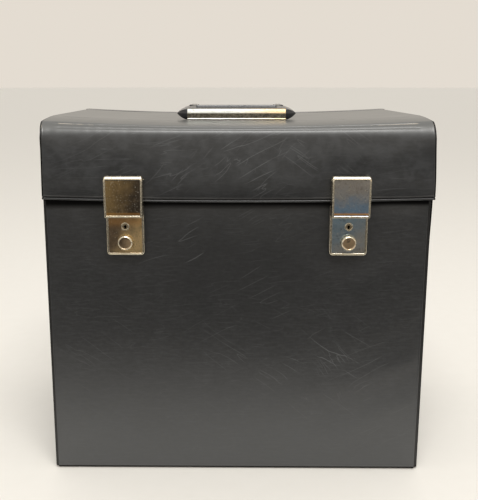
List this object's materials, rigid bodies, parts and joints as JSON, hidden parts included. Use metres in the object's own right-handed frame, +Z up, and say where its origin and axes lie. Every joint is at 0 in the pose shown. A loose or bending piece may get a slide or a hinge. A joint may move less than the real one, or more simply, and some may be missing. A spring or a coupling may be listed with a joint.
{
  "type": "record carrying case",
  "caption": "Upright vinyl-covered board case for 12-inch records, with a hinged lid, folding handle and two push-button hasp locks.",
  "frame": {"origin": "middle of the base, on the surface that the case stands on", "axes": "+Z up; the front with the locks faces -Y; left and right are as seen from the front, left towards -X"},
  "size_m": [0.345, 0.2137, 0.3417],
  "materials": {
    "vinyl": "black embossed leathercloth vinyl with fine grain and creases",
    "weld_bead": "black vinyl weld strip, semi-matt",
    "lining": "thin black smooth vinyl lining",
    "board": "grey-brown fibre millboard",
    "handle_plastic": "glossy black moulded plastic",
    "handle_trim": "pale gold plated strip, worn",
    "bracket_steel": "black enamelled steel",
    "rivet_steel": "plated steel",
    "hasp_nickel": "pale gold plated steel, polished and pitted",
    "lock_nickel": "pale gold plated steel, polished and pitted",
    "lock_brass": "brass",
    "lock_steel": "zinc plated steel",
    "spring_steel": "bright spring steel"
  },
  "bodies": {
    "case": {"body_cover": "vinyl", "body_front_board": "board", "body_back_board": "board", "body_bottom_board": "board", "body_left_board": "board", "body_right_board": "board", "body_left_cover": "vinyl", "body_right_cover": "vinyl", "body_liner": "lining", "body_rim": "weld_bead", "body_left_bead": "weld_bead", "body_right_bead": "weld_bead", "hinge_strip": "vinyl", "lock_rivets": "rivet_steel", "left_lock_plate": "lock_nickel", "left_lock_case": "lock_steel", "left_catch_springs": "spring_steel", "left_key_post": "lock_brass", "right_lock_plate": "lock_nickel", "right_lock_case": "lock_steel", "right_catch_springs": "spring_steel", "right_key_post": "lock_brass"},
    "lid": {"lid_cover": "vinyl", "lid_top_board": "board", "lid_edge_strip": "board", "lid_front_board": "board", "lid_left_board": "board", "lid_right_board": "board", "lid_left_cover": "vinyl", "lid_right_cover": "vinyl", "lid_liner": "lining", "lid_hem": "weld_bead", "lid_left_bead": "weld_bead", "lid_right_bead": "weld_bead", "hasp_rivets": "rivet_steel", "handle_left_bracket": "bracket_steel", "handle_right_bracket": "bracket_steel", "handle_left_pin": "bracket_steel", "handle_right_pin": "bracket_steel", "handle_rivets": "rivet_steel", "handle_backing_plate": "bracket_steel", "left_hasp_base": "hasp_nickel", "right_hasp_base": "hasp_nickel"},
    "handle": {"handle_grip": "handle_plastic", "handle_trim": "handle_trim"},
    "left_hasp": {"left_hasp_cover": "hasp_nickel", "left_hasp_hook": "lock_steel", "left_hasp_pin": "hasp_nickel"},
    "left_button": {"left_lock_button": "lock_nickel"},
    "left_catch": {"left_lock_catch": "lock_steel"},
    "left_key": {"left_key_drum": "lock_brass"},
    "right_hasp": {"right_hasp_cover": "hasp_nickel", "right_hasp_hook": "lock_steel", "right_hasp_pin": "hasp_nickel"},
    "right_button": {"right_lock_button": "lock_nickel"},
    "right_catch": {"right_lock_catch": "lock_steel"},
    "right_key": {"right_key_drum": "lock_brass"}
  },
  "joints": [
    {"name": "lid_hinge", "type": "hinge", "parent": "case", "child": "lid", "pos_m": [0, 0.0996, 0.3323], "axis": [-1, 0, 0], "range_deg": [0, 250], "deforming": ["hinge_strip"]},
    {"name": "handle_swing", "type": "hinge", "parent": "lid", "child": "handle", "pos_m": [0, -0.0093, 0.3375], "axis": [-1, 0, 0], "range_deg": [0, 187]},
    {"name": "left_hasp_swing", "type": "hinge", "parent": "lid", "child": "left_hasp", "pos_m": [-0.0985, -0.1099, 0.2797], "axis": [-1, 0, 0], "range_deg": [0, 90]},
    {"name": "left_button_press", "type": "slide", "parent": "case", "child": "left_button", "axis": [0, 1, 0], "range_m": [0, 0.0026], "stiffness_N_per_m": 500, "springref_m": -0.002},
    {"name": "left_catch_slide", "type": "slide", "parent": "case", "child": "left_catch", "axis": [0, 0, -1], "range_m": [0, 0.0026], "deforming": ["left_catch_springs"]},
    {"name": "left_key_turn", "type": "hinge", "parent": "case", "child": "left_key", "pos_m": [-0.0985, -0.1, 0.2374], "axis": [0, -1, 0], "range_deg": [0, 90]},
    {"name": "right_hasp_swing", "type": "hinge", "parent": "lid", "child": "right_hasp", "pos_m": [0.0985, -0.1099, 0.2797], "axis": [-1, 0, 0], "range_deg": [0, 90]},
    {"name": "right_button_press", "type": "slide", "parent": "case", "child": "right_button", "axis": [0, 1, 0], "range_m": [0, 0.0026], "stiffness_N_per_m": 500, "springref_m": -0.002},
    {"name": "right_catch_slide", "type": "slide", "parent": "case", "child": "right_catch", "axis": [0, 0, -1], "range_m": [0, 0.0026], "deforming": ["right_catch_springs"]},
    {"name": "right_key_turn", "type": "hinge", "parent": "case", "child": "right_key", "pos_m": [0.0985, -0.1, 0.2374], "axis": [0, -1, 0], "range_deg": [0, 90]}
  ],
  "couplings": [
    {"joint": "left_catch_slide", "follows": "left_button_press", "ratio": 1},
    {"joint": "right_catch_slide", "follows": "right_button_press", "ratio": 1}
  ]
}
